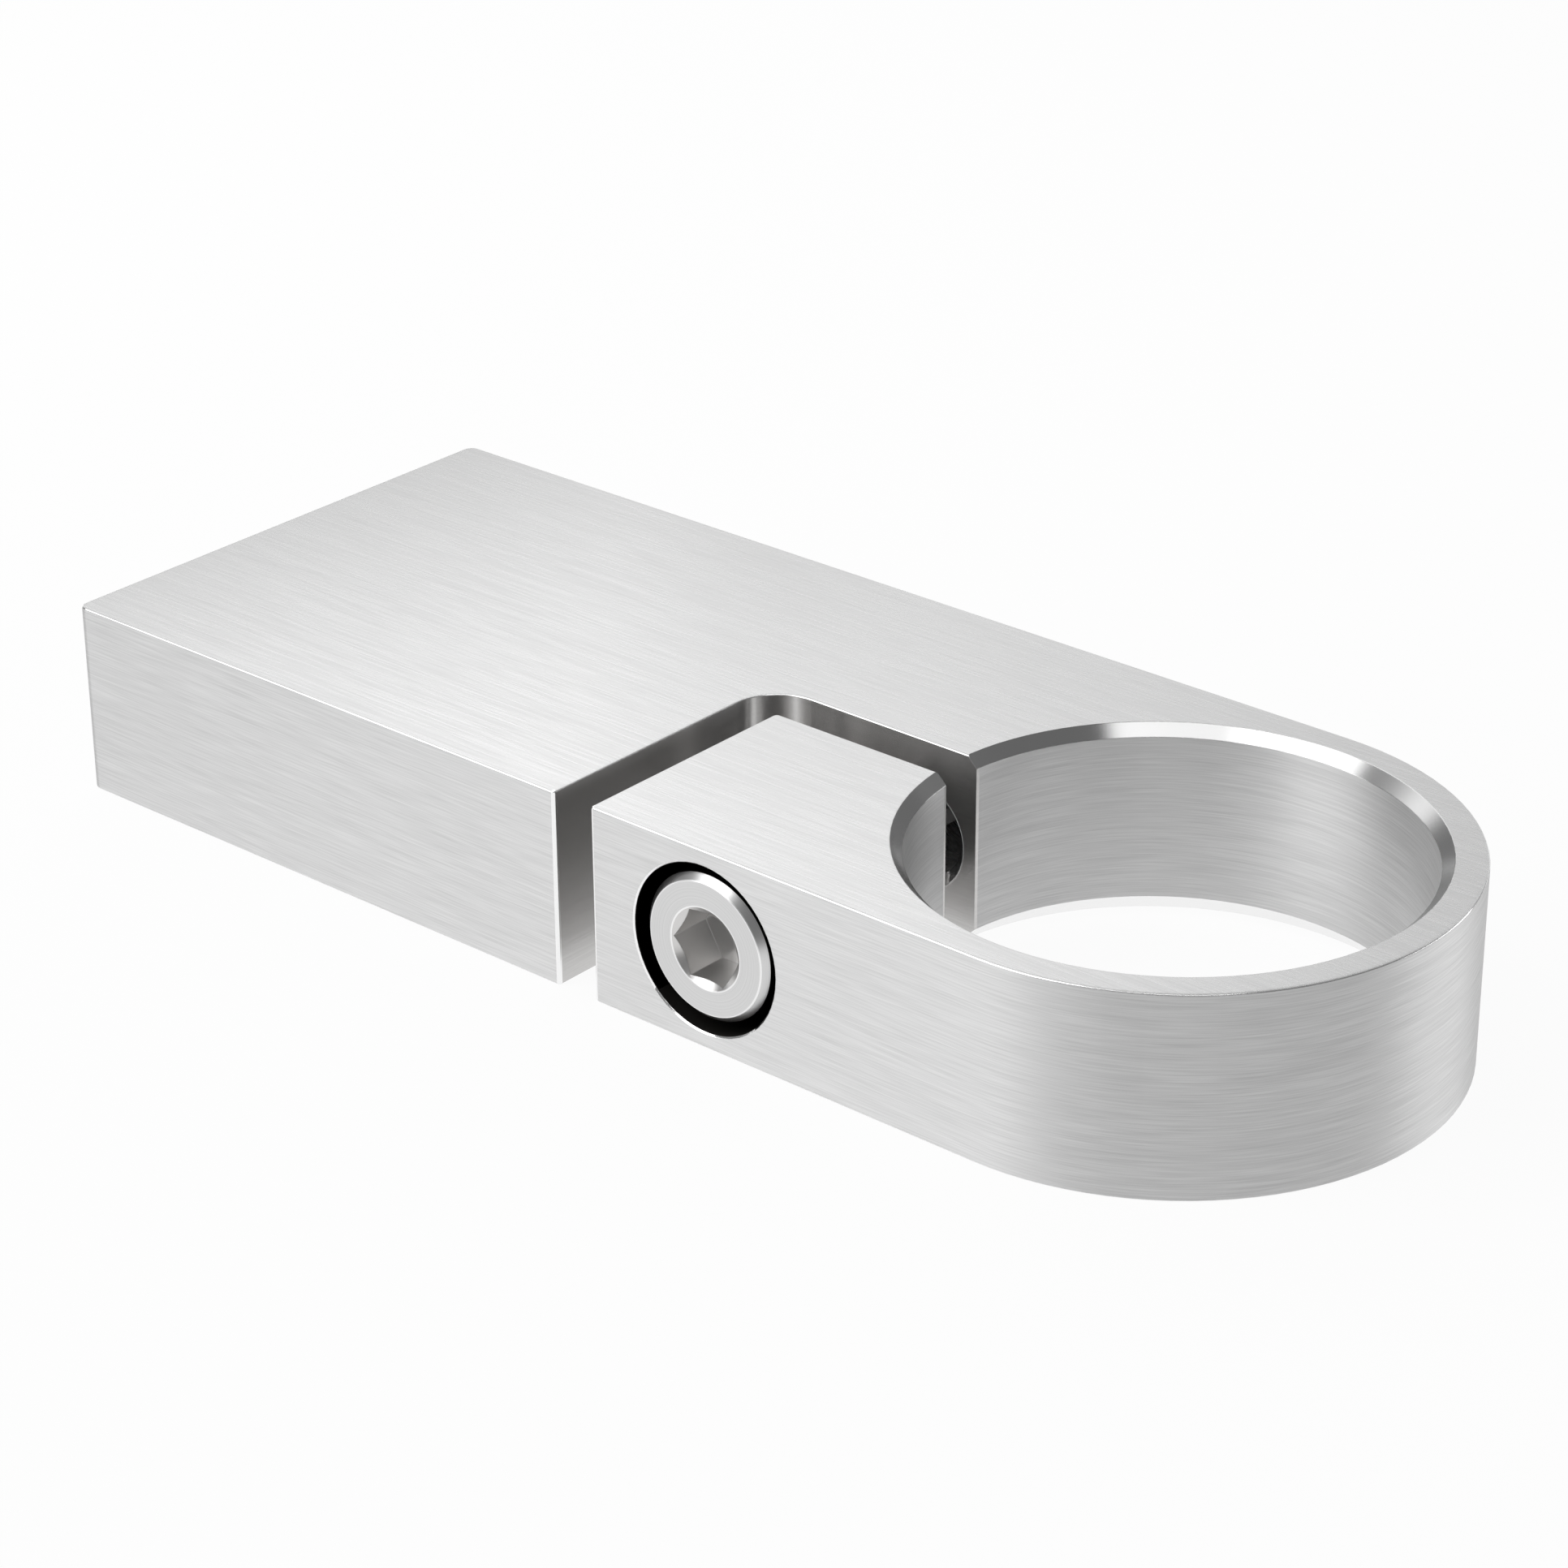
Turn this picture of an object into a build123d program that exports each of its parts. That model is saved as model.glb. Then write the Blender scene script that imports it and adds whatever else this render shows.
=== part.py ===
from build123d import *
from math import radians, tan
import os

# Side-mount post bracket: a flat bar that stands out from a wall and ends in a split ring.
# The post passes through the ring, and one socket-head screw pulls the split shut on it.
# Millimetres. The origin is on the post's axis, halfway up the bar. +X runs from the wall to
# the post, +Z is up along the post, and the clamp screw goes in from the -Y side.

# Post and ring
post_diameter = 42.4
post_gap = 0.1
ring_wall = 3.7
bore_lead_in_top = 1.0
bore_lead_in_bottom = 2.0

# Bar
wall_reach = 102.0
cover_over_counterbore = 1.5
wall_corner_radius = 1.0
edge_round = 0.3

# Split that frees the clamp's tongue
slit_width = 4.0
slit_inner_radius = 0.5
tongue_past_counterbore = 4.6

# Clamp screw, M8 with a cylindrical head and a hexagon socket
thread_diameter = 8.0
head_diameter = 13.0
head_height = 8.0
head_rim_chamfer = 0.6
head_recess = 0.2
neck_radius = 0.4
key_across_flats = 6.0
socket_depth = 4.0
socket_mouth_radius = 3.65
socket_mouth_angle = 110.0
thread_engagement = 11.2
tip_chamfer = 1.0

# Holes for the clamp screw
counterbore_gap = 1.0
shank_gap = 0.5
thread_gap = 0.05
screw_to_bore = 2.2
hole_run_out = 2.0
countersink_step = 0.95
drill_point_angle = 118.0

# Threaded holes in the wall end, M10
wall_thread_diameter = 10.0
wall_thread_depth = 25.0
wall_hole_spacing = 26.0

# Sizes that follow
bore_radius = post_diameter / 2 + post_gap
ring_radius = bore_radius + ring_wall
bar_width = 2 * ring_radius
counterbore_radius = head_diameter / 2 + counterbore_gap
counterbore_depth = head_height + head_recess
bar_thickness = 2 * (counterbore_radius + cover_over_counterbore)
screw_x = -(bore_radius + screw_to_bore + thread_diameter / 2)
tongue_x = screw_x - counterbore_radius - tongue_past_counterbore
slit_x = tongue_x - slit_width
slit_face = slit_width / 2
front_face = -bar_width / 2
screw_length = bar_width / 2 - counterbore_depth + slit_face + thread_engagement

# Each blind threaded hole: its mouth's centre, the way in, its thread, its full depth
clamp_thread_depth = thread_engagement + hole_run_out
threaded_holes = [((screw_x, slit_face, 0), (0, 1, 0), thread_diameter, clamp_thread_depth)]
for side in (-1, 1):
    wall_mouth = (-wall_reach, side * wall_hole_spacing / 2, 0)
    threaded_holes.append((wall_mouth, (1, 0, 0), wall_thread_diameter, wall_thread_depth))


# Bracket body: bar, ring and tongue in one piece
with BuildPart() as bracket_body:
    # outline of the bar, round at the post and with eased corners at the wall
    with BuildSketch(Plane.XY.offset(-bar_thickness / 2)):
        with Locations((-wall_reach / 2, 0)):
            Rectangle(wall_reach, bar_width)
        Circle(ring_radius)
        wall_corners = vertices().group_by(Axis.X)[0]
        fillet(wall_corners, wall_corner_radius)
        Circle(bore_radius, mode=Mode.SUBTRACT)
    extrude(amount=bar_thickness)

    # lead-ins at both ends of the bore
    bore_edges = edges().filter_by(GeomType.CIRCLE)
    bore_edges = bore_edges.filter_by(lambda edge: abs(edge.radius - bore_radius) < 0.001)
    chamfer(bore_edges.sort_by(Axis.Z)[-1], bore_lead_in_top)
    bore_edges = edges().filter_by(GeomType.CIRCLE)
    bore_edges = bore_edges.filter_by(lambda edge: abs(edge.radius - bore_radius) < 0.001)
    chamfer(bore_edges.sort_by(Axis.Z)[0], bore_lead_in_bottom)

    # the split: in from the front face, round a corner, and along the middle into the bore
    with BuildSketch(Plane.XY.offset(-bar_thickness / 2)) as slit:
        with BuildLine():
            Polyline(
                (slit_x, front_face - slit_width),
                (slit_x, slit_face),
                (0, slit_face),
                (0, -slit_face),
                (tongue_x, -slit_face),
                (tongue_x, front_face - slit_width),
                close=True,
            )
        make_face()
        outer_corner = slit.vertices().sort_by_distance((slit_x, slit_face, 0))[0]
        fillet(outer_corner, slit_inner_radius + slit_width)
        inner_corner = slit.vertices().sort_by_distance((tongue_x, -slit_face, 0))[0]
        fillet(inner_corner, slit_inner_radius)
    extrude(amount=bar_thickness, mode=Mode.SUBTRACT)

    # every outer edge is eased, but the bore's lead-ins stay crisp
    eased = ShapeList()
    for level, lead_in in ((-1, bore_lead_in_top), (0, bore_lead_in_bottom)):
        for edge in faces().sort_by(Axis.Z)[level].edges():
            round_edge = edge.geom_type == GeomType.CIRCLE
            if not (round_edge and abs(edge.radius - bore_radius - lead_in) < 0.001):
                eased.append(edge)
    uprights = edges().filter_by(Axis.Z)
    for x in (slit_x, tongue_x):
        eased.append(uprights.sort_by_distance((x, front_face, 0))[0])
    fillet(eased, edge_round)

    # counterbored hole through the tongue for the screw
    screw_mouth = Plane(origin=(screw_x, front_face, 0), x_dir=(1, 0, 0), z_dir=(0, -1, 0))
    with Locations(screw_mouth):
        CounterBoreHole(
            radius=thread_diameter / 2 + shank_gap,
            counter_bore_radius=counterbore_radius,
            counter_bore_depth=counterbore_depth,
            depth=bar_width / 2,
        )
    rims = edges().filter_by(GeomType.CIRCLE).filter_by_position(Axis.Y, front_face, front_face)
    chamfer(rims, edge_round / 2)

    # blind threaded holes, each with a drill point at its end
    for mouth, inward, thread, depth in threaded_holes:
        hole_radius = thread / 2 + thread_gap
        point = hole_radius / tan(radians(drill_point_angle / 2))
        with BuildSketch(Plane(origin=mouth, x_dir=inward, z_dir=(0, 0, 1))):
            with BuildLine():
                Polyline(
                    (0, 0),
                    (0, hole_radius),
                    (depth, hole_radius),
                    (depth + point, 0),
                    close=True,
                )
            make_face()
        revolve(axis=Axis(mouth, inward), mode=Mode.SUBTRACT)

    # the clamp's thread is countersunk where the split crosses it
    mouths = edges().filter_by(GeomType.CIRCLE).filter_by_position(Axis.Y, slit_face, slit_face)
    chamfer(mouths, countersink_step)

bracket_body.part.label = "bracket_body"


# Clamp screw: drawn on its own axis, the head's face at zero and the shank going in
head_face = Plane(
    origin=(screw_x, front_face + head_recess, 0), x_dir=(1, 0, 0), z_dir=(0, -1, 0)
)
screw_axis = Axis(head_face.origin, head_face.z_dir)

with BuildPart() as clamp_screw:
    # half section of head, neck, shank and chamfered tip, turned once round
    half_section = Plane(origin=head_face.origin, x_dir=(0, 1, 0), z_dir=(0, 0, 1))
    tip = head_height + screw_length
    with BuildSketch(half_section) as section:
        with BuildLine():
            Polyline(
                (0, 0),
                (0, head_diameter / 2),
                (head_height, head_diameter / 2),
                (head_height, thread_diameter / 2),
                (tip, thread_diameter / 2),
                (tip, 0),
                close=True,
            )
        make_face()

        corners = section.vertices()
        chamfer(corners.sort_by_distance((0, head_diameter / 2, 0))[0], head_rim_chamfer)
        corners = section.vertices()
        chamfer(corners.sort_by_distance((tip, thread_diameter / 2, 0))[0], tip_chamfer)
        corners = section.vertices()
        fillet(corners.sort_by_distance((head_height, thread_diameter / 2, 0))[0], neck_radius)
    revolve(axis=screw_axis)

    # hexagon socket, then its conical mouth
    with BuildSketch(head_face):
        RegularPolygon(radius=key_across_flats / 2, side_count=6, major_radius=False)
    extrude(amount=-socket_depth, mode=Mode.SUBTRACT)
    mouth_depth = socket_mouth_radius / tan(radians(socket_mouth_angle / 2))
    with BuildSketch(half_section):
        with BuildLine():
            Polyline((0, 0), (0, socket_mouth_radius), (mouth_depth, 0), close=True)
        make_face()
    revolve(axis=screw_axis, mode=Mode.SUBTRACT)

clamp_screw.part.label = "clamp_screw"


os.makedirs("parts", exist_ok=True)
for piece in (bracket_body, clamp_screw):
    export_step(piece.part, f"parts/{piece.part.label}.step")
    size = piece.part.bounding_box().size
    print(f"{piece.part.label}: {size.X:.1f} x {size.Y:.1f} x {size.Z:.1f} mm")
print(f"clamp screw M8 x {screw_length:.1f} mm")
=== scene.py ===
# %% [markdown]
# # Side-mount post bracket
# A stainless bracket that holds a round post beside a wall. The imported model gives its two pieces
# at their real size: the bracket's body, cut from one flat bar, and the screw that closes its
# clamp. This script keeps the body's solid, gives both pieces their finish, adds the fine threads
# of the wall holes, which are too small for the solid model, and sets up the studio. The clamp
# screw's own thread isn't there yet: its cell below says why.

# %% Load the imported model
import math

import bpy
from mathutils import Matrix, Vector


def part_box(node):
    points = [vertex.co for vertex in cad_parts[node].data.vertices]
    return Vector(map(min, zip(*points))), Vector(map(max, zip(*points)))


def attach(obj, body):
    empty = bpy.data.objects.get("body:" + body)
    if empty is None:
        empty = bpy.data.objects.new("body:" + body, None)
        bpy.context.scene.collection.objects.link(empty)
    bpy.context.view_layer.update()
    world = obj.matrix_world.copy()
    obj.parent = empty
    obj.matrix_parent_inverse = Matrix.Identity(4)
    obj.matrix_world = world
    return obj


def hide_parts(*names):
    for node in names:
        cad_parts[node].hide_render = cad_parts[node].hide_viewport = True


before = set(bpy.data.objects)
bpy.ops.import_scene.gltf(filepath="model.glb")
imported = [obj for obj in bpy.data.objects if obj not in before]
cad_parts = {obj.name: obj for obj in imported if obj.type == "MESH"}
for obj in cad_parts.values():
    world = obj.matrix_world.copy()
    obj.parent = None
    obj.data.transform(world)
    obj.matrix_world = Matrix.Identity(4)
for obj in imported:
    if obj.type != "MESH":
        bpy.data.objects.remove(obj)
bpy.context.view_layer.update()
MM = 0.001
for name in sorted(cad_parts):
    low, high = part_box(name)
    print(name, [round(v / MM, 1) for v in (*low, *high)])

# %% [markdown]
# ## Reading the sizes that everything else needs
# The model is in metres. Its origin is on the post's axis, the wall is on the left and the screw
# goes in from the front. The boxes of its two pieces give the wall end, the front face, the floor,
# and the screw's axis, tip and head. What they can't give, such as the split's place, is measured
# from the solids, and what the solids don't carry, such as a thread's pitch, is a standard size.
# Both are written in millimetres, each where it is first needed.

# %% Places and sizes from the model
body_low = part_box("bracket_body")[0]
screw_low, screw_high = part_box("clamp_screw")
WALL_X = body_low.x
FRONT_Y = body_low.y
FLOOR_Z = body_low.z
SCREW_X = (screw_low.x + screw_high.x) / 2
TIP_Y = screw_high.y
HEAD_RADIUS = (screw_high.x - screw_low.x) / 2
print("screw axis", round(SCREW_X / MM, 2), "head radius", round(HEAD_RADIUS / MM, 2))

# %% [markdown]
# ## A few small tools
# Colours are picked as sRGB hex values, the way a paint chart gives them, and Blender wants them
# linear. Materials are node trees: one function starts an empty tree, and one adds a node with
# its settings and its links. An operator acts on all that is selected, so the last function picks
# a single piece.

# %% Colour, node and selection helpers
def linear(hex_colour):
    """An sRGB hex colour as linear red, green, blue and alpha."""
    values = []
    for start in (1, 3, 5):
        value = int(hex_colour[start:start + 2], 16) / 255
        values.append(value / 12.92 if value <= 0.04045 else ((value + 0.055) / 1.055) ** 2.4)
    return (*values, 1.0)


def add(tree, kind, links=None, **settings):
    """Adds a node and sets its properties and its sockets.

    A socket takes a plain value, another node's output, or a node, which stands for its first
    output.
    """
    node = tree.nodes.new(kind)
    for key, value in settings.items():
        setattr(node, key, value)
    for socket, value in (links or {}).items():
        if isinstance(value, bpy.types.Node):
            value = value.outputs[0]
        if isinstance(value, bpy.types.NodeSocket):
            tree.links.new(value, node.inputs[socket])
        else:
            node.inputs[socket].default_value = value
    return node


def new_material(name):
    """An empty material: its tree and its output node."""
    material = bpy.data.materials.new(name)
    material.use_nodes = True
    material.node_tree.nodes.clear()
    output = material.node_tree.nodes.new("ShaderNodeOutputMaterial")
    return material, material.node_tree, output


def pick(piece):
    """Makes a piece the only selected one and the active one."""
    bpy.ops.object.select_all(action="DESELECT")
    bpy.context.view_layer.objects.active = piece
    piece.select_set(True)


print("mid grey is", round(linear("#808080")[0], 3), "in linear light")

# %% [markdown]
# ## Brushed stainless steel
# Stainless flat bar is ground with an abrasive belt that runs along the bar, and round the ring.
# The belt leaves fine scratches, so the metal is smooth along them and rough across them: a
# highlight spreads at right angles to the brushing. That is anisotropy, and it needs a tangent.
# The Principled shader stretches its highlight along the tangent, so the tangent points across
# the scratches: along Y on the top and the bottom, where the belt runs along X, and up on every
# upright face, where the belt runs level.
#
# The scratches themselves are a noise that is stretched along the belt's path. Real ones are
# finer than 0.05 mm. Here they are drawn 0.12 mm wide, as fine as the picture can show. A second
# noise gives the broader bands that a worn belt leaves.

# %% Scratches of the grinding belt
SCRATCH_WIDTH = 0.12 * MM
SCRATCH_LENGTH = 6.0 * MM
SCRATCH_DETAIL = 1.5
BAND_WIDTH = 0.8 * MM
BAND_LENGTH = 16.0 * MM
BAND_DETAIL = 2.0
STREAK_RAGGEDNESS = 0.6


def streaks(tree, place, flat, width, length, detail):
    """Noise stretched into streaks: level ones on upright faces, along X on flat ones."""
    upright_scale = (1 / length, 1 / length, 1 / width)
    flat_scale = (1 / length, 1 / width, 1 / length)
    scale = add(tree, "ShaderNodeMix", {0: flat, 4: upright_scale, 5: flat_scale},
                data_type="VECTOR").outputs[1]
    stretched = add(tree, "ShaderNodeVectorMath", {0: place, 1: scale}, operation="MULTIPLY")
    noise = add(tree, "ShaderNodeTexNoise",
                {"Vector": stretched, "Scale": 1.0, "Detail": detail,
                 "Roughness": STREAK_RAGGEDNESS})
    return noise.outputs["Fac"]


print("scratches", round(SCRATCH_WIDTH / MM, 2), "x", round(SCRATCH_LENGTH / MM, 1), "mm")

# %% [markdown]
# ## Which way each surface faces
# One material covers the whole bracket, because it is one piece of steel, so its nodes have to
# tell the surfaces apart. How far the normal points up or down does the first part. Flat faces
# look up or down, upright ones look sideways, and what is left slopes, such as the lead-ins at
# both ends of the bore and the middle of every eased edge.

# %% Flat, upright and sloping surfaces of the bracket
FLAT_ABOVE = 0.73
UPRIGHT_BELOW = 0.50

bracket_steel, tree, output = new_material("brushed stainless, belt ground")
place = add(tree, "ShaderNodeTexCoord").outputs["Object"]
normal = add(tree, "ShaderNodeNewGeometry").outputs["Normal"]
height = add(tree, "ShaderNodeSeparateXYZ", {0: normal}).outputs["Z"]
flatness = add(tree, "ShaderNodeMath", {0: height}, operation="ABSOLUTE")
flat = add(tree, "ShaderNodeMath", {0: flatness, 1: FLAT_ABOVE}, operation="GREATER_THAN")
upright = add(tree, "ShaderNodeMath", {0: flatness, 1: UPRIGHT_BELOW}, operation="LESS_THAN")
either = add(tree, "ShaderNodeMath", {0: flat, 1: upright}, operation="ADD")
sloping = add(tree, "ShaderNodeMath", {0: 1.0, 1: either}, operation="SUBTRACT")
print("flat means within", round(math.degrees(math.acos(FLAT_ABOVE))), "degrees of level")

# %% [markdown]
# ## Surfaces that the belt doesn't reach
# The split's walls are cut by wire, smooth and a little darker. The two upright edges at its
# mouth are eased and polished, and their colour is a painted highlight. The counterbore is
# drilled, its walls are painted nearly black, a painted shade for its narrow gap round the
# screw's head, and its rim is a painted highlight, a thin bright line. The countersink in the
# split's back wall is polished too, with a painted highlight. The bore's lead-ins are cut with a
# tool, and the upper one has a grey of its own. Masks find these surfaces by their place:
# rectangles seen from above for the split, and cylinders round the screw's and the post's axes
# for the rest. A mask is 1 on its surface and 0 elsewhere.

# %% Masks of a place on the bracket
def in_rectangle(tree, place, left, right, front, back):
    """1 inside a rectangle seen from above, through the whole bar, otherwise 0."""
    middle = ((left + right) / 2, (front + back) / 2, 0)
    half = ((right - left) / 2, (back - front) / 2, 1)
    offset = add(tree, "ShaderNodeVectorMath", {0: place, 1: middle}, operation="SUBTRACT")
    share = add(tree, "ShaderNodeVectorMath", {0: offset, 1: half}, operation="DIVIDE")
    share = add(tree, "ShaderNodeVectorMath", {0: share}, operation="ABSOLUTE")
    sides = add(tree, "ShaderNodeSeparateXYZ", {0: share})
    widest = add(tree, "ShaderNodeMath", {0: sides.outputs["X"], 1: sides.outputs["Y"]},
                 operation="MAXIMUM")
    return add(tree, "ShaderNodeMath", {0: widest, 1: 1.0}, operation="LESS_THAN")


def from_screw_axis(tree, place):
    """The way straight out from the clamp screw's axis, and how far out the place is."""
    spoke = add(tree, "ShaderNodeVectorMath", {0: place, 1: (1, 0, 1), 2: (-SCREW_X, 0, 0)},
                operation="MULTIPLY_ADD")
    reach = add(tree, "ShaderNodeVectorMath", {0: spoke}, operation="LENGTH")
    return spoke, reach.outputs["Value"]


# %% Walls of the split, and the eased edges at its mouth
# the walls of the split's first leg, its back wall, and a place inside the bore where it ends
SPLIT_LEFT = -43.6 * MM
SPLIT_RIGHT = -39.6 * MM
SPLIT_BACK = 2.0 * MM
SPLIT_END = -20.0 * MM
# the eased edges, and how far behind the front face the cut walls start
EASED_WIDTH = 0.32 * MM
EASED_DEPTH = 0.34 * MM
WALLS_START = 0.35 * MM
# how far the masks reach past their surfaces
SPARE = 0.3 * MM
HAIR = 0.02 * MM

across = in_rectangle(tree, place, SPLIT_LEFT - SPARE, SPLIT_RIGHT + SPARE,
                      FRONT_Y + WALLS_START, SPLIT_BACK + SPARE)
along = in_rectangle(tree, place, SPLIT_LEFT - SPARE, SPLIT_END,
                     -SPLIT_BACK - SPARE, SPLIT_BACK + SPARE)
split = add(tree, "ShaderNodeMath", {0: across, 1: along}, operation="MAXIMUM")
split = add(tree, "ShaderNodeMath", {0: split, 1: upright}, operation="MULTIPLY")

eased_left = in_rectangle(tree, place, SPLIT_LEFT - EASED_WIDTH, SPLIT_LEFT + HAIR,
                          FRONT_Y - HAIR, FRONT_Y + EASED_DEPTH)
eased_right = in_rectangle(tree, place, SPLIT_RIGHT - HAIR, SPLIT_RIGHT + EASED_WIDTH,
                           FRONT_Y - HAIR, FRONT_Y + EASED_DEPTH)
eased = add(tree, "ShaderNodeMath", {0: eased_left, 1: eased_right}, operation="MAXIMUM")
print("split", round((SPLIT_RIGHT - SPLIT_LEFT) / MM, 2), "mm wide")

# %% Counterbore with its rim, and the countersink in the split's back wall
# the hole, up to a place just behind its floor
COUNTERBORE_RADIUS = 7.51 * MM
COUNTERBORE_END = -16.5 * MM
# the middle of the rim's chamfer, and half its width
RIM_RADIUS = 7.58 * MM
RIM_BAND = 0.07 * MM
# the countersink's rim, the middle of its depth, and how far its mask reaches from there
COUNTERSINK_RADIUS = 5.1 * MM
COUNTERSINK_MIDDLE = 2.5 * MM
COUNTERSINK_REACH = 0.6 * MM

depth = add(tree, "ShaderNodeSeparateXYZ", {0: place}).outputs["Y"]
reach = from_screw_axis(tree, place)[1]
# the counterbore's walls, which get a painted shade, nearly black
in_front = add(tree, "ShaderNodeMath", {0: depth, 1: COUNTERBORE_END}, operation="LESS_THAN")
counterbore_painted_shade = add(tree, "ShaderNodeMath", {0: reach, 1: COUNTERBORE_RADIUS}, operation="LESS_THAN")
counterbore_painted_shade = add(tree, "ShaderNodeMath", {0: counterbore_painted_shade, 1: in_front}, operation="MULTIPLY")
rim = add(tree, "ShaderNodeMath", {0: reach, 1: RIM_RADIUS, 2: RIM_BAND}, operation="COMPARE")
rim = add(tree, "ShaderNodeMath", {0: rim, 1: in_front}, operation="MULTIPLY")

near_mouth = add(tree, "ShaderNodeMath",
                 {0: depth, 1: COUNTERSINK_MIDDLE, 2: COUNTERSINK_REACH}, operation="COMPARE")
countersunk = add(tree, "ShaderNodeMath", {0: reach, 1: COUNTERSINK_RADIUS},
                  operation="LESS_THAN")
countersunk = add(tree, "ShaderNodeMath", {0: countersunk, 1: near_mouth}, operation="MULTIPLY")
print("counterbore", round(2 * COUNTERBORE_RADIUS / MM), "mm across")

# %% Upper lead-in of the bore, and all that is polished or painted with a highlight
LEAD_IN_RADIUS = 22.35 * MM

from_post = add(tree, "ShaderNodeVectorMath", {0: place, 1: (1, 1, 0)}, operation="MULTIPLY")
from_post = add(tree, "ShaderNodeVectorMath", {0: from_post}, operation="LENGTH")
lead_in = add(tree, "ShaderNodeMath", {0: from_post.outputs["Value"], 1: LEAD_IN_RADIUS},
              operation="LESS_THAN")
lead_in = add(tree, "ShaderNodeMath", {0: lead_in, 1: sloping}, operation="MULTIPLY")
facing_up = add(tree, "ShaderNodeMath", {0: height, 1: 0.0}, operation="GREATER_THAN")
lead_in = add(tree, "ShaderNodeMath", {0: lead_in, 1: facing_up}, operation="MULTIPLY")

# polished steel is smoother; the eased edges, the rim, the countersink and every sloping surface
# are also painted almost white, a painted highlight
polished_and_painted_bright = add(tree, "ShaderNodeMath", {0: eased, 1: rim}, operation="MAXIMUM")
polished_and_painted_bright = add(tree, "ShaderNodeMath", {0: polished_and_painted_bright, 1: countersunk}, operation="MAXIMUM")
painted_highlight = add(tree, "ShaderNodeMath", {0: polished_and_painted_bright, 1: sloping}, operation="MAXIMUM")
print("lead-in up to", round(LEAD_IN_RADIUS / MM, 2), "mm from the post's axis")

# %% [markdown]
# ## The bracket's colour
# Stainless steel has a light, almost neutral grey of its own, and most of what the eye sees on
# it is mirrored. The belt's scratches shift that grey a little, and more so from scratch to
# scratch than from band to band. The masks then swap the colour where a surface was made another
# way: greyer on the split's walls and a grey of its own on the upper lead-in. Where the steel is
# polished or an edge is eased, and on every other sloping surface, the colour is a painted
# highlight, almost white, and in the counterbore it is a painted shade, nearly black. A noise
# seldom leaves the middle of its range, so the colours are spread over that part alone.

# %% Colour of the bracket
SCRATCH_SHARE = 0.82
NOISE_LOW = 0.3
NOISE_HIGH = 0.7
BELT_GROUND = ("#D1D1D1", "#E2E2E2")
WIRE_CUT = ("#C9C8C7", "#D2D1D0")
# painted highlight: an almost white colour for polished, eased and sloping surfaces, and for the
# screw's edges
PAINTED_HIGHLIGHT_STEEL = "#F8F8F8"
LEAD_IN_STEEL = "#C8C8C8"
# painted shade: a near-black colour for the counterbore's walls and for the screw head's side
# inside it
PAINTED_SHADE_STEEL = "#3A3836"

scratches = streaks(tree, place, flat, SCRATCH_WIDTH, SCRATCH_LENGTH, SCRATCH_DETAIL)
bands = streaks(tree, place, flat, BAND_WIDTH, BAND_LENGTH, BAND_DETAIL)
wear = add(tree, "ShaderNodeMath", {0: bands, 1: 1 - SCRATCH_SHARE}, operation="MULTIPLY")
wear = add(tree, "ShaderNodeMath", {0: scratches, 1: SCRATCH_SHARE, 2: wear},
           operation="MULTIPLY_ADD")

ground = add(tree, "ShaderNodeValToRGB", {"Fac": wear})
wire_cut = add(tree, "ShaderNodeValToRGB", {"Fac": wear})
for ramp, (dark, light) in ((ground, BELT_GROUND), (wire_cut, WIRE_CUT)):
    ramp.color_ramp.elements[0].position = NOISE_LOW
    ramp.color_ramp.elements[0].color = linear(dark)
    ramp.color_ramp.elements[1].position = NOISE_HIGH
    ramp.color_ramp.elements[1].color = linear(light)

colour = ground.outputs["Color"]
# greyer split walls, a painted highlight on the bright masks, the upper lead-in's own grey, and a
# painted shade in the counterbore
for mask, steel in ((split, wire_cut.outputs["Color"]), (painted_highlight, linear(PAINTED_HIGHLIGHT_STEEL)),
                    (lead_in, linear(LEAD_IN_STEEL)), (counterbore_painted_shade, linear(PAINTED_SHADE_STEEL))):
    colour = add(tree, "ShaderNodeMix", {0: mask, 6: colour, 7: steel},
                 data_type="RGBA").outputs[2]
print("belt-ground steel from", *BELT_GROUND)

# %% [markdown]
# ## The bracket's gloss
# The belt leaves a satin surface, smoother on the flat faces than on the sides, and the scratches
# vary it slightly. What was cut or polished is smoother still. Each surface takes the roughness
# of the last mask that it lies in.

# %% Roughness of the bracket
GROUND_ROUGHNESS = 0.50
GROUND_SPREAD = 0.02
FLAT_GAIN = -0.22
CUT_ROUGHNESS = 0.20
WIRE_ROUGHNESS = 0.27
POLISHED_ROUGHNESS = 0.16
DRILLED_ROUGHNESS = 0.35

gloss = add(tree, "ShaderNodeMapRange",
            {"Value": wear, "From Min": NOISE_LOW, "From Max": NOISE_HIGH,
             "To Min": GROUND_ROUGHNESS + GROUND_SPREAD,
             "To Max": GROUND_ROUGHNESS - GROUND_SPREAD})
gloss = add(tree, "ShaderNodeMath", {0: flat, 1: FLAT_GAIN, 2: gloss}, operation="MULTIPLY_ADD")
for mask, roughness in ((sloping, CUT_ROUGHNESS), (split, WIRE_ROUGHNESS),
                        (polished_and_painted_bright, POLISHED_ROUGHNESS), (counterbore_painted_shade, DRILLED_ROUGHNESS)):
    gloss = add(tree, "ShaderNodeMix", {0: mask, 2: gloss, 3: roughness}, data_type="FLOAT")
print("roughness", GROUND_ROUGHNESS, "on the sides,", GROUND_ROUGHNESS + FLAT_GAIN, "on top")

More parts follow.
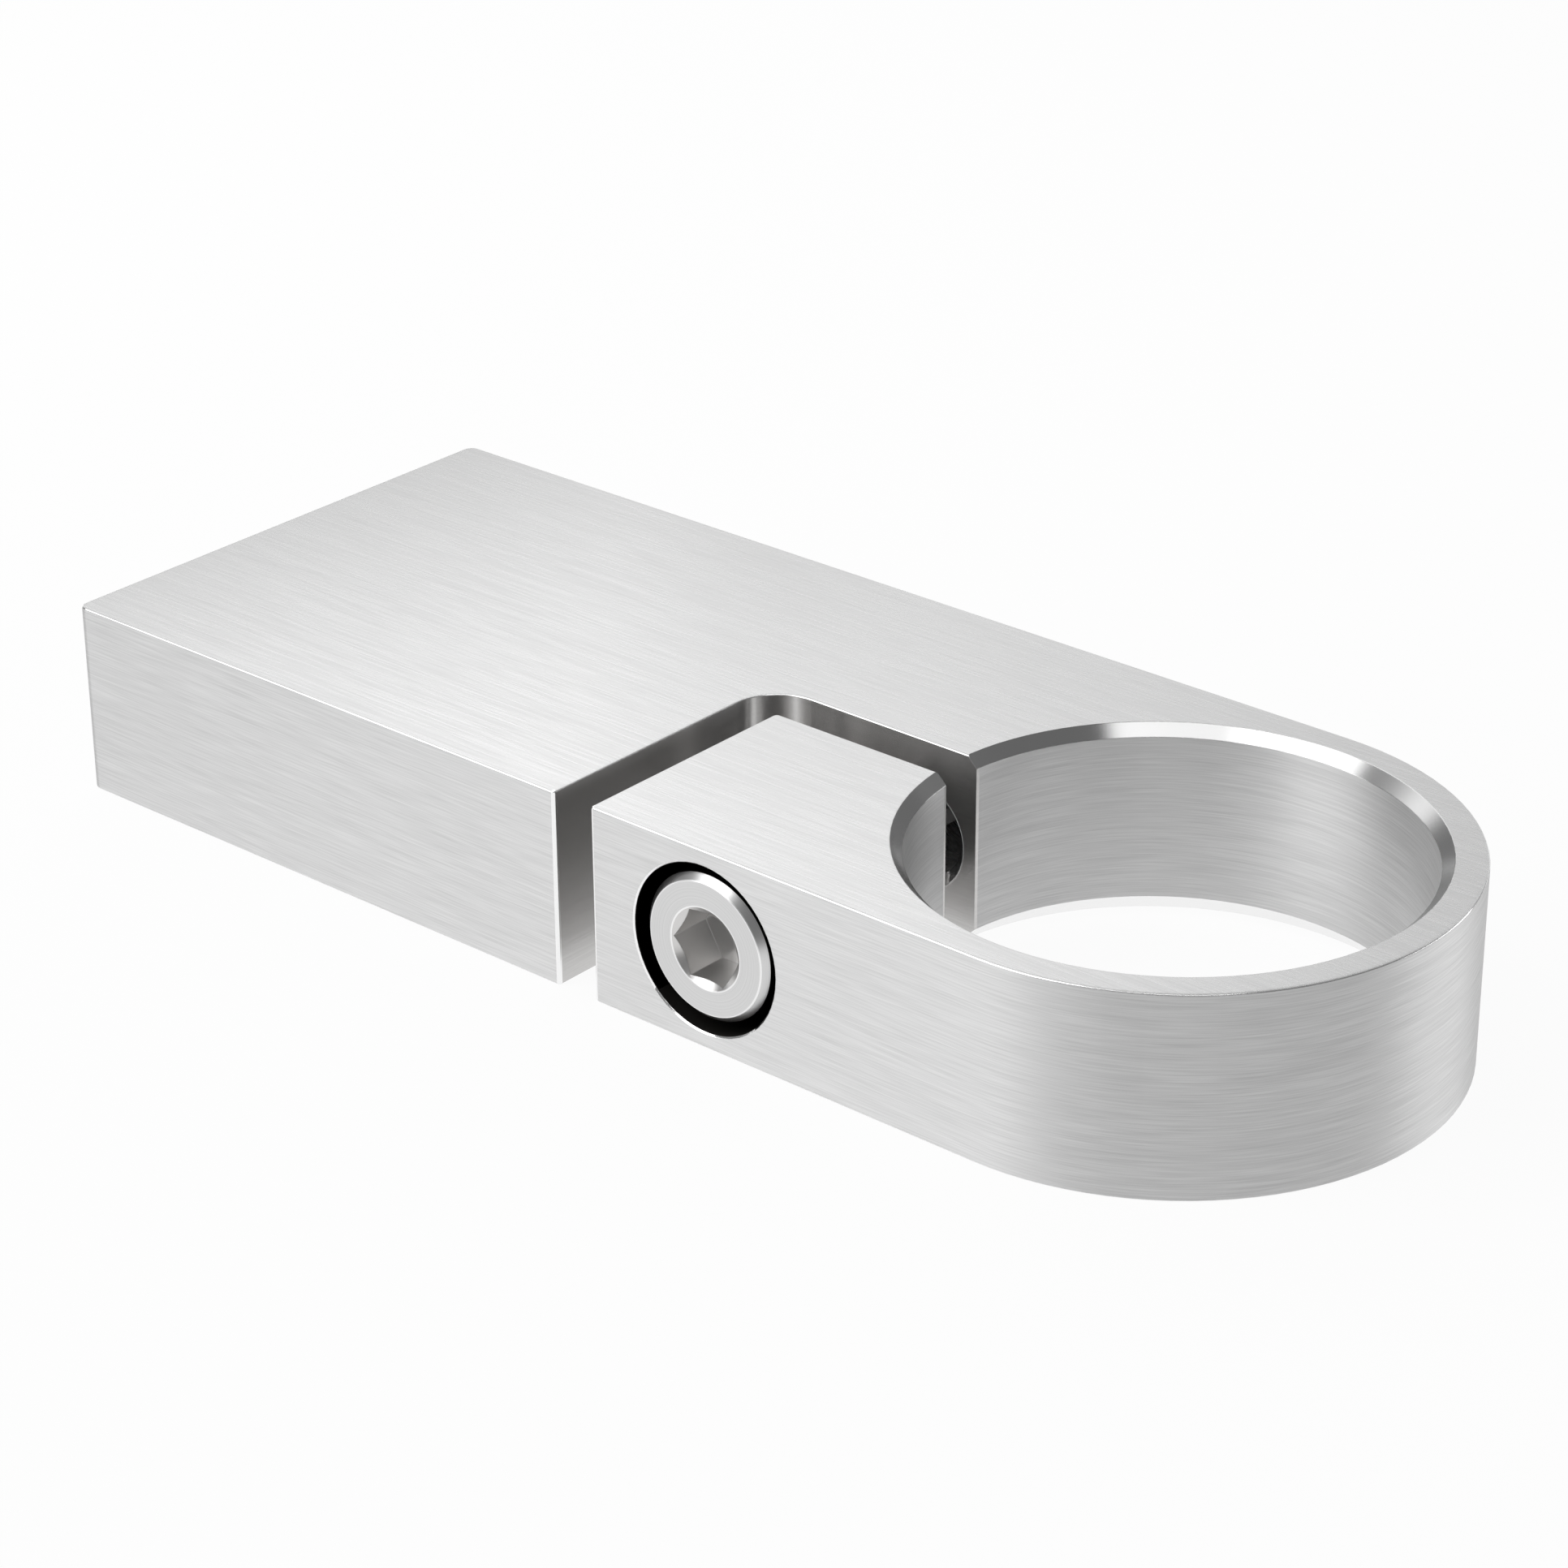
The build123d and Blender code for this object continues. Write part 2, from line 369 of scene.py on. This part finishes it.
# %% [markdown]
# ## The bracket's edges
# Deburred steel catches a thin line of light along its edges. The solid's own roundings are wider
# than that line, so their shading is set level next to the flat faces and upright next to the
# sides, and only the slope between them shows. A Bevel node then rounds the shading of the edges
# that the solid leaves sharp, and a faint bump lifts the scratches.

# %% Edges, bump and shader of the bracket
DEBURRED = 0.12 * MM
BEVEL_SAMPLES = 6
SCRATCH_HEIGHT = 0.01 * MM
BUMP_STRENGTH = 0.05
ANISOTROPY = 0.85

level = add(tree, "ShaderNodeVectorMath", {0: normal, 1: (0, 0, 1)}, operation="MULTIPLY")
level = add(tree, "ShaderNodeVectorMath", {0: level}, operation="NORMALIZE")
plumb = add(tree, "ShaderNodeVectorMath", {0: normal, 1: (1, 1, 0)}, operation="MULTIPLY")
plumb = add(tree, "ShaderNodeVectorMath", {0: plumb}, operation="NORMALIZE")
crisp = normal
for mask, straight in ((flat, level), (upright, plumb)):
    crisp = add(tree, "ShaderNodeMix", {0: mask, 4: crisp, 5: straight},
                data_type="VECTOR").outputs[1]
edges = add(tree, "ShaderNodeBevel", {"Radius": DEBURRED, "Normal": crisp},
            samples=BEVEL_SAMPLES)
bump = add(tree, "ShaderNodeBump", {"Height": scratches, "Strength": BUMP_STRENGTH,
                                    "Distance": SCRATCH_HEIGHT, "Normal": edges})
tangent = add(tree, "ShaderNodeMix", {0: flat, 4: (0, 0, 1), 5: (0, 1, 0)},
              data_type="VECTOR").outputs[1]
shader = add(tree, "ShaderNodeBsdfPrincipled",
             {"Base Color": colour, "Metallic": 1.0, "Roughness": gloss,
              "Anisotropic": ANISOTROPY, "Tangent": tangent, "Normal": bump})
tree.links.new(shader.outputs[0], output.inputs["Surface"])
print(bracket_steel.name, len(tree.nodes), "nodes")

# %% [markdown]
# ## The screw's finish
# The screw is stainless too, but it was pressed and turned, not belt ground. Its face keeps very
# fine rings round its own axis, so the pattern is a noise that reads one number, the distance
# from that axis plus the place along it, and the tangent points straight out across the rings.
# Round the side of the head and the shank the rings still run round, and there the tangent points
# along the axis. The socket is pressed by a punch and is a shade warmer. The edges of the face and
# of the socket's mouth are painted almost white, a painted highlight. The head's side, down in its
# counterbore, is painted nearly black, a painted shade, so its colour drops there.

# %% Places and rings on the screw
RING_WIDTH = 0.12 * MM
RING_DETAIL = 2.0
# the socket's mouth and the face's edge, from the axis, and half the width of their painted
# highlight line
SOCKET_RADIUS = 3.66 * MM
FACE_EDGE = 5.9 * MM
EDGE_BAND = 0.07 * MM
# how near to the head's radius its side is, and how little a side faces along the axis
HEAD_SIDE = 0.04 * MM
SIDE_BELOW = 0.3

screw_steel, tree, output = new_material("stainless screw, pressed and turned")
place = add(tree, "ShaderNodeTexCoord").outputs["Object"]
normal = add(tree, "ShaderNodeNewGeometry").outputs["Normal"]
spoke, reach = from_screw_axis(tree, place)
along = add(tree, "ShaderNodeSeparateXYZ", {0: place}).outputs["Y"]
facing = add(tree, "ShaderNodeSeparateXYZ", {0: normal}).outputs["Y"]
facing = add(tree, "ShaderNodeMath", {0: facing}, operation="ABSOLUTE")
on_side = add(tree, "ShaderNodeMath", {0: facing, 1: SIDE_BELOW}, operation="LESS_THAN")

in_socket = add(tree, "ShaderNodeMath", {0: reach, 1: SOCKET_RADIUS}, operation="LESS_THAN")
face_edge = add(tree, "ShaderNodeMath", {0: reach, 1: FACE_EDGE, 2: EDGE_BAND},
                operation="COMPARE")
mouth_edge = add(tree, "ShaderNodeMath", {0: reach, 1: SOCKET_RADIUS, 2: EDGE_BAND},
                 operation="COMPARE")
# the face's edge and the socket's mouth are painted almost white, a painted highlight
painted_edge_highlight = add(tree, "ShaderNodeMath", {0: face_edge, 1: mouth_edge}, operation="MAXIMUM")
# the head's side in the counterbore, painted nearly black: a painted shade
head_side_painted_shade = add(tree, "ShaderNodeMath", {0: reach, 1: HEAD_RADIUS, 2: HEAD_SIDE},
                operation="COMPARE")

ring_place = add(tree, "ShaderNodeMath", {0: reach, 1: along}, operation="ADD")
ring_place = add(tree, "ShaderNodeMath", {0: ring_place, 1: RING_WIDTH}, operation="DIVIDE")
rings = add(tree, "ShaderNodeTexNoise", {"W": ring_place, "Scale": 1.0, "Detail": RING_DETAIL},
            noise_dimensions="1D")
print("rings about", round(RING_WIDTH / MM, 2), "mm wide")

# %% Turned stainless material of the screw
TURNED = ("#D2D2D2", "#DDDDDD")
SOCKET_STEEL = "#D7D6D5"
SCREW_ROUGHNESS = 0.30
SCREW_ANISOTROPY = 0.3

turned = add(tree, "ShaderNodeValToRGB", {"Fac": rings.outputs["Fac"]})
turned.color_ramp.elements[0].position = NOISE_LOW
turned.color_ramp.elements[0].color = linear(TURNED[0])
turned.color_ramp.elements[1].position = NOISE_HIGH
turned.color_ramp.elements[1].color = linear(TURNED[1])
colour = turned.outputs["Color"]
# a painted highlight on the screw's edges and a painted shade on the head's side in its counterbore
for mask, steel in ((in_socket, SOCKET_STEEL), (painted_edge_highlight, PAINTED_HIGHLIGHT_STEEL),
                    (head_side_painted_shade, PAINTED_SHADE_STEEL)):
    colour = add(tree, "ShaderNodeMix", {0: mask, 6: colour, 7: linear(steel)},
                 data_type="RGBA").outputs[2]

tangent = add(tree, "ShaderNodeMix", {0: on_side, 4: spoke, 5: (0, 1, 0)},
              data_type="VECTOR").outputs[1]
edges = add(tree, "ShaderNodeBevel", {"Radius": DEBURRED}, samples=BEVEL_SAMPLES)
shader = add(tree, "ShaderNodeBsdfPrincipled",
             {"Base Color": colour, "Metallic": 1.0, "Roughness": SCREW_ROUGHNESS,
              "Anisotropic": SCREW_ANISOTROPY, "Tangent": tangent, "Normal": edges})
tree.links.new(shader.outputs[0], output.inputs["Surface"])
print(screw_steel.name, len(tree.nodes), "nodes")

# %% [markdown]
# ## Cutting a thread
# A metric thread is a flat-topped ridge that winds round the rod. Its flanks stand at 60 degrees
# to the rod's axis, a crest is an eighth of the pitch wide and a root a quarter. The ridge's
# profile for one turn is drawn as a chain of edges, extruded point by point. The Screw modifier
# then winds it up the rod, as a lathe does. It winds a few turns too many, and the two ragged
# ends are sliced flat. One function makes every thread here, because the tap for the wall holes
# is only a larger copy of the same shape.

# %% A threaded rod, wound from its profile
FLANK_ANGLE = 60
WINDING_STEPS = 48
SPARE_TURNS = 3
TURNS_BELOW = 1.1
CLOSE = 0.001 * MM


def threaded_rod(name, radius, pitch, length):
    """A rod with a thread of that outside radius, from the origin up along Z."""
    crest = pitch / 8
    root = pitch / 4
    flank = (pitch - crest - root) / 2
    ridge = flank * math.tan(math.radians(FLANK_ANGLE))
    bpy.ops.object.select_all(action="DESELECT")
    bpy.ops.mesh.primitive_plane_add(size=pitch)
    rod = bpy.context.active_object
    rod.name = name
    bpy.ops.object.mode_set(mode="EDIT")
    bpy.ops.mesh.select_all(action="SELECT")
    bpy.ops.mesh.merge(type="CENTER")
    bpy.ops.transform.translate(value=(radius, 0, -crest / 2))
    for out, rise in ((0, crest), (-ridge, flank), (0, root), (ridge, flank)):
        bpy.ops.mesh.extrude_region_move(TRANSFORM_OT_translate={"value": (out, 0, rise)})
    bpy.ops.object.mode_set(mode="OBJECT")
    winding = rod.modifiers.new("winding", "SCREW")
    winding.screw_offset = pitch
    winding.iterations = math.ceil(length / pitch) + SPARE_TURNS
    winding.steps = winding.render_steps = WINDING_STEPS
    bpy.ops.object.modifier_apply(modifier="winding")

    bpy.ops.object.mode_set(mode="EDIT")
    bpy.ops.mesh.select_all(action="SELECT")
    bpy.ops.mesh.remove_doubles(threshold=CLOSE)
    bpy.ops.transform.translate(value=(0, 0, -TURNS_BELOW * pitch))
    bpy.ops.mesh.bisect(plane_co=(0, 0, 0), plane_no=(0, 0, 1), use_fill=True, clear_inner=True)
    bpy.ops.mesh.select_all(action="SELECT")
    bpy.ops.mesh.bisect(plane_co=(0, 0, length), plane_no=(0, 0, 1), use_fill=True,
                        clear_outer=True)
    bpy.ops.mesh.select_all(action="SELECT")
    bpy.ops.mesh.normals_make_consistent(inside=False)
    bpy.ops.object.mode_set(mode="OBJECT")
    print(name, len(rod.data.polygons), "faces")
    return rod


# %% [markdown]
# ## Joining and finishing a piece
# A Boolean modifier joins two closed meshes or cuts one from the other. A finished piece has its
# place in its mesh, closed and facing outwards, and is shaded smooth except where two faces meet
# at more than 30 degrees. A count of the edges that don't have two faces proves that it is closed.

# %% Joining, cutting and settling a piece
SMOOTH_BELOW = 30


def carve(piece, tool, operation):
    """Joins the tool to the piece, cuts it away or keeps what both share, and deletes the tool."""
    pick(piece)
    step = piece.modifiers.new(operation.lower(), "BOOLEAN")
    step.operation = operation
    step.solver = "EXACT"
    step.object = tool
    bpy.ops.object.modifier_apply(modifier=step.name)
    bpy.data.objects.remove(tool, do_unlink=True)


def settle(piece, finish):
    """Applies the piece's place to its mesh, closes it, smooths it and gives it its finish."""
    pick(piece)
    bpy.ops.object.transform_apply(location=True, rotation=True, scale=True)
    bpy.ops.object.mode_set(mode="EDIT")
    bpy.ops.mesh.select_all(action="SELECT")
    bpy.ops.mesh.remove_doubles(threshold=CLOSE)
    bpy.ops.mesh.normals_make_consistent(inside=False)
    bpy.ops.object.mode_set(mode="OBJECT")
    bpy.ops.mesh.customdata_custom_splitnormals_clear()
    bpy.ops.object.shade_smooth_by_angle(angle=math.radians(SMOOTH_BELOW))
    piece.data.materials.clear()
    piece.data.materials.append(finish)
    faces_on = {}
    for face in piece.data.polygons:
        for key in face.edge_keys:
            faces_on[key] = faces_on.get(key, 0) + 1
    open_edges = sum(count != 2 for count in faces_on.values())
    print(piece.name, len(piece.data.polygons), "faces,", open_edges, "open edges")


# %% [markdown]
# ## The clamp screw
# The solid model has the screw's true head, neck and length, with a plain shank. An M8 screw this
# short is threaded almost up to its head. So the head and 2 mm of plain shank are kept from a copy
# of the solid, sliced off flat, and a threaded rod is meant to take the place of the rest. Its
# ends are to be turned down first, by keeping only what lies inside a cylinder with bevelled ends.
#
# This doesn't work yet. The wound rod isn't quite closed, and the Boolean that trims it gives
# back an empty mesh. So nothing is joined to the neck, and the finished screw has no shank. The
# prints of the next two cells show it: the trimmed rod has no faces, and the screw ends early.

# %% Head and neck of the clamp screw, from the solid
PLAIN_SHANK_END = -14.8 * MM

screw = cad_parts["clamp_screw"].copy()
screw.data = screw.data.copy()
screw.name = "threaded_clamp_screw"
bpy.context.scene.collection.objects.link(screw)
pick(screw)
bpy.ops.object.mode_set(mode="EDIT")
bpy.ops.mesh.select_all(action="SELECT")
bpy.ops.mesh.remove_doubles(threshold=CLOSE)
bpy.ops.mesh.bisect(plane_co=(0, PLAIN_SHANK_END, 0), plane_no=(0, 1, 0), use_fill=True,
                    clear_outer=True)
bpy.ops.object.mode_set(mode="OBJECT")
print(screw.name, len(screw.data.polygons), "faces in the head and neck")

# %% Threaded rod for the clamp screw's shank, M8
SCREW_PITCH = 1.25 * MM
SCREW_RADIUS = 4.0 * MM
OVERLAP = 0.5 * MM
END_CHAMFER = 1.2 * MM
BLANK_SPARE = 0.2 * MM
ROUND_SIDES = 96
ALONG_AXIS = 0.9

start = PLAIN_SHANK_END - OVERLAP
rod_length = TIP_Y - start
rod = threaded_rod("screw_thread", SCREW_RADIUS, SCREW_PITCH, rod_length + 2 * SCREW_PITCH)
rod.location.z = -SCREW_PITCH
bpy.ops.object.transform_apply(location=True)

bpy.ops.object.select_all(action="DESELECT")
bpy.ops.mesh.primitive_cylinder_add(vertices=ROUND_SIDES, radius=SCREW_RADIUS + BLANK_SPARE,
                                    depth=rod_length, location=(0, 0, rod_length / 2))
blank = bpy.context.active_object
bpy.ops.object.transform_apply(location=True)
bpy.ops.object.mode_set(mode="EDIT")
bpy.ops.mesh.select_all(action="DESELECT")
bpy.ops.object.mode_set(mode="OBJECT")
for face in blank.data.polygons:
    face.select = abs(face.normal.z) > ALONG_AXIS
bpy.ops.object.mode_set(mode="EDIT")
bpy.ops.mesh.bevel(offset=END_CHAMFER, segments=1, affect="EDGES")
bpy.ops.object.mode_set(mode="OBJECT")
carve(rod, blank, "INTERSECT")
print("rod for", round(rod_length / MM, 1), "mm,", len(rod.data.polygons), "faces once trimmed")

# %% Join the rod to the head and neck
rod.rotation_euler = (math.radians(-90), 0, 0)
rod.location = (SCREW_X, start, 0)
bpy.context.view_layer.update()
carve(screw, rod, "UNION")
settle(screw, screw_steel)
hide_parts("clamp_screw")
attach(screw, "screw")
reached = max(vertex.co.y for vertex in screw.data.vertices)
print("screw ends at", round(reached / MM, 1), "mm, the solid's at", round(TIP_Y / MM, 1))

# %% [markdown]
# ## The threads in the wall holes
# Two M10 studs hold the bracket to its wall. The solid model's holes are plain, at the thread's
# outside diameter, so each thread here is a sleeve that fills the hole's wall: a short tube, cut
# from inside by a threaded rod that stands for the tap. A cone at its mouth, with sides at 45
# degrees, is the countersink that leads a stud in. The sleeve is made once and copied, and its
# outside is hidden in the steel. It is part of the bracket, but it takes the screw's steel,
# because a tap leaves a turned surface and not a belt-ground one.

# %% Tapped wall hole, M10
WALL_PITCH = 1.5 * MM
WALL_THREAD_RADIUS = 5.0 * MM
SLEEVE_RADIUS = 5.2 * MM
SLEEVE_LENGTH = 22.0 * MM
COUNTERSINK = 1.3 * MM

bpy.ops.object.select_all(action="DESELECT")
bpy.ops.mesh.primitive_cylinder_add(vertices=ROUND_SIDES, radius=SLEEVE_RADIUS,
                                    depth=SLEEVE_LENGTH, location=(0, 0, SLEEVE_LENGTH / 2))
sleeve = bpy.context.active_object
bpy.ops.object.transform_apply(location=True)
tap = threaded_rod("tap", WALL_THREAD_RADIUS, WALL_PITCH, SLEEVE_LENGTH + 2 * WALL_PITCH)
tap.location.z = -WALL_PITCH
bpy.context.view_layer.update()
carve(sleeve, tap, "DIFFERENCE")
bpy.ops.object.select_all(action="DESELECT")
bpy.ops.mesh.primitive_cone_add(vertices=ROUND_SIDES,
                                radius1=WALL_THREAD_RADIUS + COUNTERSINK / 2,
                                radius2=WALL_THREAD_RADIUS - COUNTERSINK * 1.5,
                                depth=2 * COUNTERSINK, location=(0, 0, COUNTERSINK / 2))
countersink = bpy.context.active_object
bpy.context.view_layer.update()
carve(sleeve, countersink, "DIFFERENCE")
print("sleeve", len(sleeve.data.polygons), "faces")

# %% One thread in each wall hole
SLEEVE_START = 0.3 * MM
WALL_HOLE_Y = 13.0 * MM

sleeve.rotation_euler = (0, math.radians(90), 0)
sleeve.location = (WALL_X + SLEEVE_START, -WALL_HOLE_Y, 0)
sleeve.name = "wall_thread_front"
settle(sleeve, screw_steel)

other = sleeve.copy()
other.data = sleeve.data.copy()
other.name = "wall_thread_back"
bpy.context.scene.collection.objects.link(other)
other.location.y = 2 * WALL_HOLE_Y
settle(other, screw_steel)
for thread in (sleeve, other):
    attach(thread, "bracket")

# %% [markdown]
# ## The bracket's body
# The solid model's body is right in shape as it stands, with its bar, ring, tongue, split and
# holes. So it stays, its mesh unchanged, and only gets its steel.

# %% Give the bracket's solid its finish
body_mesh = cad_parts["bracket_body"].data
body_mesh.materials.clear()
body_mesh.materials.append(bracket_steel)
print("bracket body", len(body_mesh.polygons), "faces")

# %% [markdown]
# ## The floor
# The photograph's ground is pure white. The floor is a white sheet, and most of what the camera
# and the steel see of it is its own even white, so it doesn't need more light than the bracket
# can take. The rest is ordinary white paint, which keeps the bracket's soft shadow.

# %% White floor
FLOOR_SIZE = 10.0
FLOOR_PAINT = "#F5F5F5"
OWN_WHITE = 0.94

bpy.ops.object.select_all(action="DESELECT")
bpy.ops.mesh.primitive_plane_add(size=FLOOR_SIZE, location=(0, 0, FLOOR_Z))
floor = bpy.context.active_object
floor.name = "studio_floor"
material, tree, output = new_material("white studio floor")
rays = add(tree, "ShaderNodeLightPath")
seen = rays.outputs["Is Camera Ray"]
for kind in ("Is Glossy Ray", "Is Transmission Ray"):
    seen = add(tree, "ShaderNodeMath", {0: seen, 1: rays.outputs[kind]}, operation="MAXIMUM")
share = add(tree, "ShaderNodeMath", {0: seen, 1: OWN_WHITE}, operation="MULTIPLY")
paint = add(tree, "ShaderNodeBsdfDiffuse", {"Color": linear(FLOOR_PAINT)})
own = add(tree, "ShaderNodeEmission", {"Color": (1, 1, 1, 1), "Strength": 1.0})
mixed = add(tree, "ShaderNodeMixShader", {"Fac": share, 1: paint, 2: own})
tree.links.new(mixed.outputs[0], output.inputs["Surface"])
floor.data.materials.append(material)
print("floor at", round(FLOOR_Z / MM, 1), "mm")

# %% [markdown]
# ## Studio light
# Steel shows what stands round it, so the lamps are large soft boxes, placed by what each face
# mirrors. The one in front on the left lights the front face, the screw and the bore. One hangs
# close by on the left, and the top face mirrors it. A fainter one behind carries that light on
# round the top of the ring. A low one behind on the right gives the bright stripe on the ring's
# right side, and the one overhead the bright crescent on the upper lead-in. The side towards the
# camera stays empty, and the ring turns darker there.

# %% Soft boxes and room light
AIM = Vector((-30, 0, 0)) * MM
ROOM_LIGHT = 0.21

# name, azimuth, elevation, distance in metres, width, height, brightness
SOFT_BOXES = (
    ("front left", -34, 38, 1.2, 41, 56, 2.2),
    ("back right", 140, 6, 1.2, 38, 12, 3.0),
    ("back left", -112, 44.4, 0.37, 45, 44, 1.29),
    ("back fill", -153, 21, 1.2, 25, 46, 0.56),
    ("overhead", 28, 68, 1.2, 44, 17, 2.1),
)


def soft_box(name, azimuth, elevation, distance, wide, high, brightness):
    """A lamp that faces the bracket. Azimuth 0 is in front and 90 on the right, in degrees.

    Its width and height are the angles that it fills, seen from the bracket.
    """
    a, e = math.radians(azimuth), math.radians(elevation)
    way = Vector((math.sin(a) * math.cos(e), -math.cos(a) * math.cos(e), math.sin(e)))
    lamp = bpy.data.lights.new(name, "AREA")
    lamp.shape = "RECTANGLE"
    lamp.size = 2 * distance * math.tan(math.radians(wide / 2))
    lamp.size_y = 2 * distance * math.tan(math.radians(high / 2))
    lamp.energy = brightness * math.pi * lamp.size * lamp.size_y
    holder = bpy.data.objects.new(name, lamp)
    bpy.context.scene.collection.objects.link(holder)
    holder.location = AIM + way * distance
    holder.rotation_euler = way.to_track_quat("Z", "Y").to_euler()
    holder.visible_camera = False
    print(name, round(lamp.size, 2), "x", round(lamp.size_y, 2), "m,", round(lamp.energy, 1), "W")


for settings in SOFT_BOXES:
    soft_box(*settings)

world = bpy.data.worlds.new("room")
bpy.context.scene.world = world
world.use_nodes = True
world.node_tree.nodes["Background"].inputs["Color"].default_value = (1, 1, 1, 1)
world.node_tree.nodes["Background"].inputs["Strength"].default_value = ROOM_LIGHT

# %% [markdown]
# ## Camera
# The camera's place and lens were found from the photograph: the bracket's straight edges and
# round rims were matched to it. The place is in millimetres from the middle of the post's bore.
# Light bounces many times between the split's walls before it comes out, so the render follows
# more mirrorings than Blender does by itself.

# %% Camera at the photograph's viewing angle
CAMERA_AT = Vector((176.844, -250.984, 164.327))
FORWARD = Vector((-0.587622, 0.678545, -0.440769))
CAMERA_UP = Vector((-0.283688, 0.33739, 0.897602))
LENS = 99.413
SENSOR = 36.0
NEAREST = 10 * MM
MIRRORINGS = 12

camera_data = bpy.data.cameras.new("photo view")
camera = bpy.data.objects.new("photo view", camera_data)
bpy.context.scene.collection.objects.link(camera)
camera_data.sensor_fit = "HORIZONTAL"
camera_data.sensor_width = SENSOR
camera_data.lens = LENS
camera_data.clip_start = NEAREST
right = FORWARD.cross(CAMERA_UP).normalized()
up = right.cross(FORWARD).normalized()
turn = Matrix((right, up, -FORWARD)).transposed()
camera.matrix_world = Matrix.Translation(CAMERA_AT * MM) @ turn.to_4x4()
bpy.context.scene.camera = camera
bpy.context.scene.view_settings.view_transform = "Standard"
bpy.context.scene.cycles.glossy_bounces = MIRRORINGS
print("camera", round(CAMERA_AT.length), "mm from the bore,", LENS, "mm lens")
